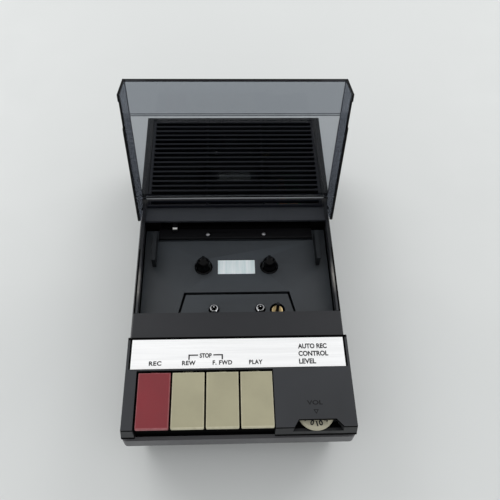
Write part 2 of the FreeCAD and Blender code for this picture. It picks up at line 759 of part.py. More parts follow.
def reel(name, side):
    """Spindle with three drive fins, standing on its reel table."""
    x = f"{side} * hub_spacing / 2"
    table_low = "chassis_low + chassis_thick + 0.5"
    seat = "floor_top - 2.6"
    core = turned([("0", seat), ("5.2", seat), ("5.4", "floor_top - 1.8"), ("5.4", "floor_top - 0.2"),
                   ("4.8", "floor_top + 0.3"), ("4.4", "spindle_tip - 4.4"), ("3.3", "spindle_tip - 2.2"),
                   ("1.8", "spindle_tip - 0.3"), ("1", "spindle_tip"), ("0", "spindle_tip")], x, "hub_y")
    fins = []
    for turn in (90, 210, 330):
        fin = pad("XZ", [("3", "floor_top + 1"), ("5.3", "floor_top + 1"), ("5.4", "floor_top + 4"),
                         ("3.4", "spindle_tip - 1.6"), ("2", "spindle_tip - 1.6")], "-0.8", "0.8")
        fin.Placement = Placement(Vector(), Rotation(Vector(0, 0, 1), turn))
        bind(fin, "Placement.Base.x", x)
        bind(fin, "Placement.Base.y", "hub_y")
        fins.append(fin)
    bore_radius = "capstan_radius + running_gap"
    bore = rod(bore_radius, (x, "hub_y"), (f"{table_low} - 1", "spindle_tip - 2.5"))
    node(f"{name}_spindle", cut(join(core, *fins), bore))
    table = turned([("0", table_low), ("14.5", table_low), ("14.5", f"{table_low} + 2"),
                    ("8", f"{table_low} + 2"), ("7.5", f"{table_low} + 2.4"), ("0", seat)], x, "hub_y")
    table_bore = rod(bore_radius, (x, "hub_y"), (f"{table_low} - 1", "floor_top"))
    node(f"{name}_reel_table", cut(table, table_bore))


def drive():
    """Flywheel and capstan with their bearings, on the plate that carries the whole drive."""
    at = ("capstan_x", "capstan_y")
    wheel_top = "(flywheel_low + flywheel_thick)"
    web_top = f"{wheel_top} - 2"
    hub_top = f"{wheel_top} + 1"
    rim = turned([("capstan_radius", "flywheel_low"), ("flywheel_radius", "flywheel_low"),
                  ("flywheel_radius", wheel_top), ("flywheel_radius - 4", wheel_top),
                  ("flywheel_radius - 5", web_top), ("6", web_top),
                  ("5", hub_top), ("capstan_radius", hub_top)], *at)
    node("flywheel", rim)
    node("capstan_shaft", rod("capstan_radius", at, ("flywheel_low - 1.5", "floor_top + 8")))
    bore = "capstan_radius + running_gap"
    sleeve = turned([(bore, f"{wheel_top} + 1.5"), ("3.5", f"{wheel_top} + 1.5"), ("3.5", "floor_top - 0.4"),
                     ("2.9", "floor_top - 0.1"), (bore, "floor_top - 0.1")], *at)
    node("capstan_bearing", sleeve)

    strap_low = "flywheel_low - 3.2"
    strap_y = centred("capstan_y", "5")
    strap = block(("-2.5", "51.6"), strap_y, (strap_low, f"{strap_low} + 1.2"))
    legs = [block((x_low, f"{x_low} + 1.6"), strap_y, (strap_low, "chassis_low")) for x_low in ("-2.5", "50")]
    cup = rod("2.6", at, (f"{strap_low} + 1", f"{strap_low} + 2.9"))
    pocket = rod(bore, at, ("flywheel_low - 1.6", "flywheel_low + 1"))
    node("thrust_bracket", cut(join(strap, cup, *legs), pocket))

    plate_top = "chassis_low + chassis_thick"
    through = ("chassis_low - 1", f"{plate_top} + 1")
    plate = slab("chassis_half", ("-94", "chassis_rear"), ("chassis_low", plate_top))
    holes = [rod("3.5 + running_gap", at, through), rod("6", ("motor_x", "motor_y"), through),
             block(("-chassis_half - 4", "slot_right + 1.8"), ("-110", "key_rear"), through),
             block(("wheel_x - 9", "70"), ("-110", "-90"), through)]
    holes += [rod("boss_radius + 0.6", (f"{side} * screw_x", "screw_front"), through) for side in SIDES]
    node("chassis_plate", cut(plate, *holes))
    posts = [rod("2.6", (x, y), ("foot_height + wall", "chassis_low"))
             for x in ("-46", "46") for y in ("-78", "-6")]
    node("chassis_posts", group(*posts))
    reel_pins = [rod("capstan_radius", (f"{side} * hub_spacing / 2", "hub_y"), (plate_top, "spindle_tip - 3"))
                 for side in SIDES]
    node("reel_pins", group(*reel_pins))


def motor_drive():
    at = ("motor_x", "motor_y")
    can_top = "flywheel_low - 2.2"
    bore = "capstan_radius + running_gap"
    can = soften(rod("motor_radius", at, ("foot_height + 3.2", can_top)), "1",
                 lambda edge: edge.BoundBox.ZLength < 0.1)
    boss = rod("3", at, (can_top, f"{can_top} + 1.2"))
    shaft_hole = rod(bore, at, ("foot_height + 8", f"{can_top} + 2"))
    node("motor", cut(join(can, boss), shaft_hole))
    node("motor_shaft", rod("capstan_radius", at, ("foot_height + 9", "flywheel_low + flywheel_thick")))
    flange = "pulley_radius + 1"
    pulley = turned([("capstan_radius", "flywheel_low"), (flange, "flywheel_low"),
                     (flange, "flywheel_low + 0.6"), ("pulley_radius", "flywheel_low + 1.1"),
                     ("pulley_radius", "flywheel_low + 3.9"), (flange, "flywheel_low + 4.4"),
                     (flange, "flywheel_low + flywheel_thick"),
                     ("capstan_radius", "flywheel_low + flywheel_thick")], *at)
    node("motor_pulley", pulley)
    reach = "motor_radius + 2"
    plate = block(centred("motor_x", reach), centred("motor_y", reach),
                  (can_top, f"{can_top} + 1.2"))
    legs = [block((f"motor_x - ({reach})", "motor_x + 8"), (y_low, f"{y_low} + 1.4"),
                  (can_top, "chassis_low"))
            for y_low in (f"motor_y - ({reach})", f"motor_y + {reach} - 1.4")]
    node("motor_bracket", cut(join(plate, *legs), rod("3", at, (f"{can_top} - 1", "chassis_low"))))


def belt_loop(extra):
    """Closed wire around the motor pulley and the flywheel at a distance from both."""
    small = value("pulley_radius + belt_gap") + extra
    large = value("flywheel_radius + belt_gap") + extra
    start = Vector(value("motor_x"), value("motor_y"), 0)
    end = Vector(value("capstan_x"), value("capstan_y"), 0)
    run = end.sub(start)
    heading = math.atan2(run.y, run.x)
    lean = math.acos((small - large) / run.Length)

    def rim(centre, radius, angle):
        return centre + Vector(radius * math.cos(angle), radius * math.sin(angle), 0)

    upper, lower = heading + lean, heading - lean
    edges = [
        Part.LineSegment(rim(start, small, upper), rim(end, large, upper)),
        Part.Arc(rim(end, large, upper), rim(end, large, heading), rim(end, large, lower)),
        Part.LineSegment(rim(end, large, lower), rim(start, small, lower)),
        Part.Arc(rim(start, small, lower), rim(start, small, heading + math.pi),
                 rim(start, small, upper)),
    ]
    return Part.Wire([edge.toShape() for edge in edges])


def drive_belt():
    """Flat rubber belt: the band between two loops. No primitive has this outline."""
    band = Part.Face(belt_loop(value("belt_thick"))).cut(Part.Face(belt_loop(0)))
    item = doc.addObject("Part::Feature", "belt")
    item.Shape = band.extrude(Vector(0, 0, value("belt_height")))
    item.Placement = Placement(Vector(0, 0, value("flywheel_low + 1.4")), Rotation())
    node("drive_belt", item)


# ---------------------------------------------------------------- heads and pinch roller

def head_carriage():
    """Sliding plate that brings the heads and the pinch roller to the tape."""
    def tape_side(edge):
        return upright(edge) and edge.BoundBox.YMax > value("carriage_rear - 1")

    top = "carriage_low + carriage_thick"
    pivot = ("arm_pivot_x", "arm_pivot_y")
    axle = ("roller_x", "roller_y")
    plate = block(("-33", "43"), ("step_y + 3.2", "carriage_rear"), ("carriage_low", top))
    stud = rod("stud_radius", pivot, ("carriage_low", "rim_top - 2.6"))
    node("head_carriage", join(plate, stud))
    case = slab("6.2", ("carriage_rear - 9", "carriage_rear + 0.6"), (top, "rim_top - 2.2"))
    node("play_head", soften(case, "2", tape_side))
    erase = block(("-26.6", "-18.8"), ("carriage_rear - 8", "carriage_rear"), (top, "rim_top - 3"))
    node("erase_head", soften(erase, "1.5", tape_side))

    arm_low = f"{top} + clearance"
    through = ("carriage_low - 1", "deck_top")
    arm = pad("XY", [("arm_pivot_x - 1", "arm_pivot_y - 3"), ("arm_pivot_x + 3", "arm_pivot_y - 2"),
                     ("arm_pivot_x + 2.4", "arm_pivot_y + 3"), ("roller_x + 1", "roller_y + 2.4"),
                     ("roller_x - 2", "roller_y + 1.6"), ("roller_x - 2", "roller_y - 2.4")],
              arm_low, f"{arm_low} + 1")
    sleeve = rod("2 * stud_radius", pivot, (arm_low, "rim_top - 3"))
    arm_bore = rod("stud_radius + running_gap", pivot, through)
    node("pinch_arm", cut(join(arm, sleeve), arm_bore, rod("axle_radius", axle, through)))
    node("pinch_axle", rod("axle_radius", axle, (arm_low, "rim_top - 2.4")))
    roller = rod("roller_radius", axle, (f"{arm_low} + 1.3", "rim_top - 2.8"))
    node("pinch_roller", cut(roller, rod("axle_radius + running_gap", axle, through)))


# ---------------------------------------------------------------- speaker, batteries, circuit

def speaker():
    at = ("0", "speaker_y")
    top = "deck_top - 4"
    magnet_top = "bay_top + 7.2"
    throat = f"{magnet_top} + 1"
    cone_rim = "speaker_radius - 4"
    node("speaker_frame", turned([(cone_rim, f"{top} - 1"), ("speaker_radius", f"{top} - 1"),
                                  ("speaker_radius", top), ("speaker_radius - 3.4", top),
                                  ("15.4", throat), ("8", throat), ("8", magnet_top),
                                  ("16", magnet_top)], *at))
    node("speaker_magnet", rod("13.5", at, ("bay_top + 1.3", magnet_top)))
    node("speaker_cone", turned([("7.6", f"{throat} + 0.6"), (cone_rim, f"{top} - 0.2"),
                                 (cone_rim, f"{top} + 0.2"), ("7.2", f"{throat} + 1.2"),
                                 ("0", f"{throat} + 2.8"), ("0", f"{throat} + 2.2")], *at))


LEAF_XS = ("-18", "10")
CONTACTS = (
    (("-22", "-6"), "bay_front + 0.05"),
    (("6", "22"), "bay_front + 0.05"),
    (("-23", "23"), "bay_rear - 0.65"),
)


def batteries():
    """Sliding door, contact plates and bent leaf springs of the battery bay."""
    door_y = ("bay_front - 1.2", "bottom_rear - 0.2")
    door = slab("bay_half + 1.2", door_y, ("foot_height", "foot_height + door_thick"))
    tongues = slab("bay_half + 2.4", door_y, ("foot_height + 0.9", "foot_height + door_thick"))
    grip = [slab("9", (f"bottom_rear - 12 + {i} * 3", f"bottom_rear - 10.8 + {i} * 3"),
                 ("foot_height - 1", "foot_height + 0.5")) for i in range(3)]
    node("battery_door", cut(join(door, tongues), *grip))
    plates = [block(x_span, (y_low, f"{y_low} + 0.6"), ("8", "26")) for x_span, y_low in CONTACTS]
    node("battery_contacts", group(*plates))
    back = "bay_front + 0.65"
    leaves = [pad("YZ", [(back, "9"), (f"{back} + 0.55", "9"), (f"{back} + 4.95", "16"),
                         (f"{back} + 4.95", "18"), (f"{back} + 0.55", "25"), (back, "25"), (back, "24.2"),
                         (f"{back} + 4.25", "17.4"), (f"{back} + 4.25", "16.6"), (back, "9.8")],
                  x, f"{x} + 8") for x in LEAF_XS]
    node("battery_springs", group(*leaves))


PART_PITCH = 8.5
PART_SIZES = (("2.4", "7"), ("3", "9"), ("2.4", "7"), ("3", "9"), ("2.4", "7"))


def circuit():
    """Board standing on four posts, with capacitors, resistors and the record switch."""
    top = "board_low + board_thick"
    node("circuit_board", block(("board_left", "board_right"), ("board_front", "board_rear"),
                                ("board_low", top)))
    parts = []
    for i, (radius, height) in enumerate(PART_SIZES):
        capacitor = ("board_left + 4", f"board_front + 32 + {i * PART_PITCH}")
        resistor = (f"board_front + 30 + {i * PART_PITCH}", f"{top} + 1.2")
        parts.append(rod(radius, capacitor, (top, f"{top} + {height}")))
        parts.append(rod("1.2", resistor, ("board_left + 9", "board_right - 2.5"), "X"))
    node("board_components", group(*parts))
    body = block(("board_left + 2", "board_left + 8"), ("board_front + 7", "board_front + 27"),
                 (top, f"{top} + 6"))
    slider = block(("board_left + 4", "board_left + 6"), ("board_front + 2", "board_front + 8"),
                   (f"{top} + 2", f"{top} + 4"))
    node("record_switch", join(body, slider))

    jacks = []
    for x in JACK_XS:
        shell = block(centred(x, "3.6"), ("half_long - 14.4", "half_long - 2.3"),
                      ("jack_z - 4", "jack_z + 3.4"))
        nose = rod("jack_radius + 1.2", (x, "jack_z"), ("half_long - 4", "half_long"), "Y")
        bore = rod("jack_radius", (x, "jack_z"), ("half_long - 13", "half_long + 2"), "Y")
        jacks.append(cut(join(shell, nose), bore))
    node("jack_sockets", group(*jacks))


def feet_and_screws():
    feet = [rod("foot_radius - 0.7", (f"{side} * foot_x", f"{end} * foot_y"), ("0", "foot_height"),
                top_radius="foot_radius") for side in SIDES for end in SIDES]
    node("rubber_feet", group(*feet))
    screws = []
    for x, y in screw_spots():
        head = rod("screw_head", (x, y), ("foot_height + 0.2", "foot_height + 1.5"))
        shank = rod("screw_radius", (x, y), ("foot_height + 1", "screw_tip"))
        slot = block(centred(x, "3"), centred(y, "0.35"), ("foot_height - 1", "foot_height + 0.8"))
        screws.append(cut(join(head, shank), slot))
    node("case_screws", group(*screws))



upper_case()
lower_case()
speaker_grille()
head_cover()
fascia_strip()
deck_plate()
head_plate()
rear_shelf()
small_fittings()
record_safety_feeler()
cassette_lid()
key_bank()
volume_control()
reel("supply", -1)
reel("takeup", 1)
drive()
motor_drive()
drive_belt()
head_carriage()
speaker()
batteries()
circuit()
feet_and_screws()

doc.recompute()

broken = [item.Label for item in doc.Objects if "Invalid" in item.State or "Error" in item.State]
for item in NODES:
    if item.Shape.isNull() or not item.Shape.isValid() or not item.Shape.Solids:
        broken.append(item.Label)
if broken:
    raise RuntimeError("failed objects: " + ", ".join(broken))

os.makedirs("parts", exist_ok=True)
for item in NODES:
    item.Shape.exportStep(os.path.join("parts", item.Label + ".step"))
    box = item.Shape.BoundBox
    spans = [f"{low:7.2f} {high:7.2f}" for low, high in
             ((box.XMin, box.XMax), (box.YMin, box.YMax), (box.ZMin, box.ZMax))]
    print(f"{item.Label:22s} {len(item.Shape.Solids):2d} solids ", *spans)
print(len(NODES), "nodes")
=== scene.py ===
"""Looks of the portable cassette recorder: materials, printed marks, light and camera."""
import math

import bmesh
import bpy
from mathutils import Matrix, Vector

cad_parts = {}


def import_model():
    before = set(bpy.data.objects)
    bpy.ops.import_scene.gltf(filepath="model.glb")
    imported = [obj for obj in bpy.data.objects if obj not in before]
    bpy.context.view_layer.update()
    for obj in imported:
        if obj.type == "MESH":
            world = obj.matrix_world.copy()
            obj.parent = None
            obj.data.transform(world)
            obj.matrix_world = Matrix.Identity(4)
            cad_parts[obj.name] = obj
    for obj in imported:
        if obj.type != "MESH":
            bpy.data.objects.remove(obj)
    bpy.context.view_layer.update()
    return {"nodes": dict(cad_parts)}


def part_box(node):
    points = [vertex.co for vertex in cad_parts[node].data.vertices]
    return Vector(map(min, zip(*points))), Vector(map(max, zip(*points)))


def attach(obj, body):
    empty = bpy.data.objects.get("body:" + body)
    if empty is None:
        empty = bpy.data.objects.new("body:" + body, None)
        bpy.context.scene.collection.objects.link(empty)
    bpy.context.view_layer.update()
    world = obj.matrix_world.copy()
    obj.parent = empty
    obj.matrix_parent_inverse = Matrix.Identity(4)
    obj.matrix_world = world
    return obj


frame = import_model()
MM = 0.001
NODES = frame["nodes"]


# ---------------------------------------------------------------- colours and node trees

SRGB_KNEE, SRGB_SLOPE, SRGB_LIFT, SRGB_POWER = 0.04045, 12.92, 0.055, 2.4
RUBBED_AND_HIGHLIT_POINTINESS = (0.505, 0.56)
BLUR = 0.0001


def linear(red, green, blue):
    """A display colour, 0 to 255, as the linear values that shaders take."""
    def one(channel):
        share = channel / 255
        if share <= SRGB_KNEE:
            return share / SRGB_SLOPE
        return ((share + SRGB_LIFT) / (1 + SRGB_LIFT)) ** SRGB_POWER
    return (one(red), one(green), one(blue), 1.0)


def scaled(colour, factor):
    """A colour made lighter or darker by a factor."""
    return tuple(min(1.0, channel * factor) for channel in colour[:3]) + (1.0,)


class Recipe:
    """A material's node tree, with short ways to add the nodes that the finishes share.

    Distances are in metres in the shared frame, and noise scales are in cells per metre.
    """

    def __init__(self, name):
        self.material = bpy.data.materials.new(name)
        self.material.use_nodes = True
        self.tree = self.material.node_tree
        self.tree.nodes.clear()
        self.output = self.add("ShaderNodeOutputMaterial")
        self.shader = self.add("ShaderNodeBsdfPrincipled")
        self.link(self.shader.outputs["BSDF"], self.output.inputs["Surface"])
        self.place = self.add("ShaderNodeTexCoord").outputs["Object"]

    def add(self, kind, **settings):
        node = self.tree.nodes.new(kind)
        for key, value in settings.items():
            setattr(node, key, value)
        return node

    def link(self, source, target):
        self.tree.links.new(source, target)

    def constant(self, socket, value):
        """Set one of the shader's own sockets to a fixed value."""
        self.shader.inputs[socket].default_value = value

    def colour(self, source):
        self.link(source, self.shader.inputs["Base Color"])

    def rough(self, source):
        self.link(source, self.shader.inputs["Roughness"])

    def bump(self, height, distance, strength):
        node = self.add("ShaderNodeBump")
        node.inputs["Strength"].default_value = strength
        node.inputs["Distance"].default_value = distance
        self.link(height, node.inputs["Height"])
        self.link(node.outputs["Normal"], self.shader.inputs["Normal"])

    def noise(self, scale, detail=3.0, rough=0.5, stretch=(1, 1, 1)):
        mapping = self.add("ShaderNodeMapping")
        mapping.inputs["Scale"].default_value = stretch
        self.link(self.place, mapping.inputs["Vector"])
        node = self.add("ShaderNodeTexNoise")
        node.inputs["Scale"].default_value = scale
        node.inputs["Detail"].default_value = detail
        node.inputs["Roughness"].default_value = rough
        self.link(mapping.outputs["Vector"], node.inputs["Vector"])
        return node.outputs["Fac"]

    def band(self, source, low, high, out_low=0.0, out_high=1.0):
        """Map the range from low to high onto another range, and clamp it."""
        node = self.add("ShaderNodeMapRange")
        node.inputs["From Min"].default_value = low
        node.inputs["From Max"].default_value = high
        node.inputs["To Min"].default_value = out_low
        node.inputs["To Max"].default_value = out_high
        self.link(source, node.inputs["Value"])
        return node.outputs["Result"]

    def patches(self, scale, low, high, out=(0.0, 1.0), **pattern):
        """Uneven patches: noise between two levels, mapped onto a range."""
        return self.band(self.noise(scale, **pattern), low, high, *out)

    def math(self, operation, first, second):
        node = self.add("ShaderNodeMath", operation=operation)
        for socket, value in zip(node.inputs, (first, second)):
            if isinstance(value, (int, float)):
                socket.default_value = value
            else:
                self.link(value, socket)
        return node.outputs[0]

    def mixed(self, factor, first, second):
        node = self.add("ShaderNodeMix", data_type="RGBA")
        self.link(factor, node.inputs[0])
        for socket, value in zip((node.inputs[6], node.inputs[7]), (first, second)):
            if isinstance(value, tuple):
                socket.default_value = value
            else:
                self.link(value, socket)
        return node.outputs[2]

    def axes(self, what="Object"):
        """A coordinate's x, y and z."""
        parts = self.add("ShaderNodeSeparateXYZ")
        self.link(self.add("ShaderNodeTexCoord").outputs[what], parts.inputs[0])
        return parts.outputs

    def gathered(self, operation, shares):
        """Several values taken together, two at a time."""
        total = shares[0]
        for share in shares[1:]:
            total = self.math(operation, total, share)
        return total

    def most(self, *shares):
        return self.gathered("MAXIMUM", shares)

    def product(self, *shares):
        return self.gathered("MULTIPLY", shares)

    def between(self, source, low, high, blur=BLUR):
        """1 while a coordinate lies between two values, and 0 outside them."""
        rise = self.band(source, low - blur, low + blur)
        fall = self.band(source, high - blur, high + blur, 1.0, 0.0)
        return self.product(rise, fall)

    def rubbed_edges(self):
        """1 along the sharp outer edges and 0 elsewhere, from the geometry's pointiness; these edges are
        painted pale, partly as wear and partly as a painted highlight.
        """
        return self.band(self.add("ShaderNodeNewGeometry").outputs["Pointiness"], *RUBBED_AND_HIGHLIT_POINTINESS)


# ---------------------------------------------------------------- plastics

BLOTCH_TONES = (0.9, 1.1)
SPECK_TONE, WORN_AND_HIGHLIT_TONE = 2.4, 1.6
# A pale tone for patches that are partly wear and partly a painted reflection.
SCUFF_AND_SHEEN_TONE = linear(150, 146, 140)
# Painted shade: the near-black, dull tone laid wherever a shade function says.
PAINTED_SHADE_TONE = (0.0008, 0.0008, 0.0009, 1.0)
PAINTED_SHADE_ROUGHNESS, PAINTED_SHADE_SPECULAR = 0.95, 0.05


def moulded(name, tone, rough=0.45, grain=2600, depth=0.00002, dust=0.35, specular=0.5, shade=None,
            scuffs_and_sheen=None):
    """Moulded plastic: fine spark-eroded grain, faint blotches, light dust, and pale edges that are partly
    wear and partly a painted highlight.

    `shade` is a function that returns where painted shade makes the plastic dark and dull, and
    the other function one that returns where it is painted pale, partly as wear from handling and partly as
    a painted reflection.
    """
    m = Recipe(name)
    blotch = m.patches(scale=38, detail=4, low=0.35, high=0.68)
    base = m.mixed(blotch, *(scaled(tone, factor) for factor in BLOTCH_TONES))
    specks = m.patches(scale=1900, detail=1.0, low=0.74, high=0.79, out=(0.0, dust))
    dusty = m.mixed(specks, base, scaled(tone, SPECK_TONE))
    # Pale edges: partly wear, partly a painted highlight.
    surface = m.mixed(m.rubbed_edges(), dusty, scaled(tone, WORN_AND_HIGHLIT_TONE))
    polish = m.patches(scale=90, detail=5, low=0.3, high=0.7, out=(rough - 0.06, rough + 0.08))
    m.constant("Specular IOR Level", specular)
    # Pale patches, partly wear and partly a painted reflection.
    if scuffs_and_sheen:
        surface = m.mixed(scuffs_and_sheen(m), surface, SCUFF_AND_SHEEN_TONE)
    # Painted shade, near black and dull, where the shade function says.
    if shade:
        painted_shade_share = shade(m)
        surface = m.mixed(painted_shade_share, surface, PAINTED_SHADE_TONE)
        polish = m.most(polish, m.product(painted_shade_share, PAINTED_SHADE_ROUGHNESS))
        m.link(m.band(painted_shade_share, 0.0, 1.0, specular, PAINTED_SHADE_SPECULAR),
               m.shader.inputs["Specular IOR Level"])
    m.colour(surface)
    m.rough(polish)
    m.bump(m.noise(grain, detail=2.0, rough=0.6), depth, strength=0.6)
    return m.material


# Where the painted shade on the case lies, in metres, and how strong it is.
STRIP_LOW, STRIP_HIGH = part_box("fascia_strip")
GROOVE_Z = (0.0300, 0.0404)
KEY_SLOT_Y, KEY_SLOT_Z = (-0.1149, -0.1115), (0.0334, 0.0460)
SHELF_SLOT_Y, SHELF_SLOT_Z = (0.0212, 0.0330), (0.0300, 0.0463)
CREASE_Z = (0.0482, 0.0498)
CREASE_FADE_Y = (STRIP_HIGH.y + 0.0015, STRIP_HIGH.y + 0.0016)
BORDER_X = (STRIP_HIGH.x, STRIP_HIGH.x + 0.0011)
BORDER_Y = (STRIP_LOW.y, 0.0)
STEP_Y = (STRIP_HIGH.y, STRIP_HIGH.y + 0.0016)
FACET_Z, FACET_Y, FACET_SHARE = (0.0492, 0.0496), (-0.1130, -0.1140), 0.45
RIM_REAR = 0.0345
REAR_FADE, REAR_SHARE = 0.002, 0.5
RIM_TOP_Z, RIM_TOP_Y, RIM_TOP_SHARE = (0.0480, 0.0489), (-0.0120, RIM_REAR), 0.62


def case_recesses(m):
    """Painted shade on the case: it darkens the grooves, slots and creases, the strip's border and step,
    the front facets, the rear and the rims' tops.
    """
    x, y, z = m.axes()
    sideways = m.math("ABSOLUTE", x, 0)
    groove = m.between(z, *GROOVE_Z, blur=0.0003)
    under_keys = m.product(m.between(y, *KEY_SLOT_Y), m.between(z, *KEY_SLOT_Z))
    behind_shelf = m.product(m.between(y, *SHELF_SLOT_Y), m.between(z, *SHELF_SLOT_Z))
    crease = m.product(m.between(z, *CREASE_Z), m.band(y, *CREASE_FADE_Y, 1.0, 0.0))
    border = m.product(m.between(sideways, *BORDER_X), m.between(y, *BORDER_Y))
    step = m.between(y, *STEP_Y)
    facet = m.product(m.band(z, *FACET_Z, FACET_SHARE, 0.0), m.band(y, *FACET_Y))
    rear = m.band(y, RIM_REAR - REAR_FADE, RIM_REAR, 0.0, REAR_SHARE)
    rims = m.product(m.between(z, *RIM_TOP_Z), m.between(y, *RIM_TOP_Y, blur=0.012), RIM_TOP_SHARE)
    return m.most(groove, under_keys, behind_shelf, crease, border, step, facet, rear, rims)


WELL_RIM_Z, WELL_RIM_Y = (0.0430, 0.0460), (-0.0460, RIM_REAR)
WELL_SIDE_X = (0.0590, 0.0592)
LEFT_WEAR_SHEEN_Y, LEFT_WEAR_SHEEN_SHARE = (-0.0350, -0.0170), 0.55
RIGHT_WEAR_SHEEN_Y = (-0.0290, -0.0130)


def rim_scuffs(m):
    """The side rims of the well are painted pale, more on the right: partly wear from hands, partly a
    painted reflection of a window.
    """
    x, y, z = m.axes()
    low, high = WELL_SIDE_X
    left = m.product(m.between(y, *LEFT_WEAR_SHEEN_Y, blur=0.004), m.band(x, -low, -high, 0.0, LEFT_WEAR_SHEEN_SHARE))
    right = m.product(m.between(y, *RIGHT_WEAR_SHEEN_Y, blur=0.005), m.band(x, low, high))
    patchy = m.patches(scale=420, detail=5, rough=0.7, stretch=(1, 0.25, 1), low=0.35, high=0.62,
                       out=(0.35, 1.0))
    return m.product(m.band(z, *WELL_RIM_Z), m.between(y, *WELL_RIM_Y), m.math("ADD", left, right), patchy)


RIB_Z, RIB_SHARE = (0.0372, 0.0376), 0.72


def guide_ribs(m):
    """Painted shade: the ribs beside the cassette are painted darker and duller than the floor that they
    stand on.
    """
    return m.band(m.axes()[2], *RIB_Z, 0.0, RIB_SHARE)


RECORD_LOW, RECORD_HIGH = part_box("record_key")
KEY_FIRST_X = (RECORD_LOW.x + RECORD_HIGH.x) / 2
KEY_HALF = (RECORD_HIGH.x - RECORD_LOW.x) / 2
KEY_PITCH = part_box("rewind_key")[0].x - RECORD_LOW.x
KEY_FRONT_Y = RECORD_LOW.y
KEY_REAR_Y = -0.0840
KEY_CLOUD_TONES = (0.93, 1.06)
EDGE_HIGHLIGHT_SHARE = 0.85
EDGE_HIGHLIGHT_GAIN, EDGE_HIGHLIGHT_LIFT = 1.3, 0.1


def key_plastic(name, tone):
    """Satin key cap: faint clouds, fine grain, and a painted highlight: pale edges all round."""
    m = Recipe(name)
    cloud = m.patches(scale=55, detail=4, low=0.35, high=0.7)
    base = m.mixed(cloud, *(scaled(tone, factor) for factor in KEY_CLOUD_TONES))
    x, y, _ = m.axes()
    wrap = m.add("ShaderNodeMath", operation="WRAP")
    m.link(m.math("SUBTRACT", x, KEY_FIRST_X), wrap.inputs[0])
    wrap.inputs[1].default_value = KEY_PITCH / 2
    wrap.inputs[2].default_value = -KEY_PITCH / 2
    # Painted highlight: pale bands along each cap's sides, front and rear edges.
    side = m.band(m.math("ABSOLUTE", wrap.outputs[0], 0), KEY_HALF - 0.0006, KEY_HALF - 0.0003,
                  0.0, EDGE_HIGHLIGHT_SHARE)
    front = m.band(y, KEY_FRONT_Y + 0.0008, KEY_FRONT_Y + 0.0005)
    rear = m.band(y, KEY_REAR_Y - 0.0007, KEY_REAR_Y - 0.0003, 0.0, EDGE_HIGHLIGHT_SHARE)
    uneven = m.patches(scale=260, detail=4, low=0.3, high=0.6, out=(0.5, 1.0))
    pale = tuple(channel * EDGE_HIGHLIGHT_GAIN + EDGE_HIGHLIGHT_LIFT for channel in tone[:3]) + (1.0,)
    m.colour(m.mixed(m.product(m.most(side, front, rear), uneven), base, pale))
    m.rough(m.patches(scale=110, detail=5, low=0.3, high=0.75, out=(0.52, 0.66)))
    m.bump(m.noise(2200, detail=2), 0.000012, strength=0.5)
    return m.material


# ---------------------------------------------------------------- the smoked lid

LID_OPEN = math.radians(97.4)
LID_HINGE_Y, LID_HINGE_Z = 0.03465, 0.04593
LID_BEND_Z = 0.1181
LID_LIP_Z, LID_LIP_FACE_Z, LID_LIP_END_X = 0.0545, (0.0512, 0.0532), (0.0590, 0.0600)
LID_SKIRT_X = 0.0619
LID_RIM_DEPTH = -0.0083
LID_REACH = 0.09674
FACING_FRONT = (-0.65, -0.45)
LID_PANEL = (0.45, 0.472, 0.50, 1.0)
LID_FLAP = (0.318, 0.34, 0.372, 1.0)
LID_SPECK_AND_SHADE = (0.05, 0.055, 0.065, 1.0)
LID_SKIRT_SHADE = (0.13, 0.142, 0.17, 1.0)
LID_EDGE_SHADE = (0.003, 0.003, 0.004, 1.0)
LID_LIP_HIGHLIGHT = (0.33, 0.345, 0.36, 1.0)
LID_SPECULAR, LID_IOR = 0.3, 1.2


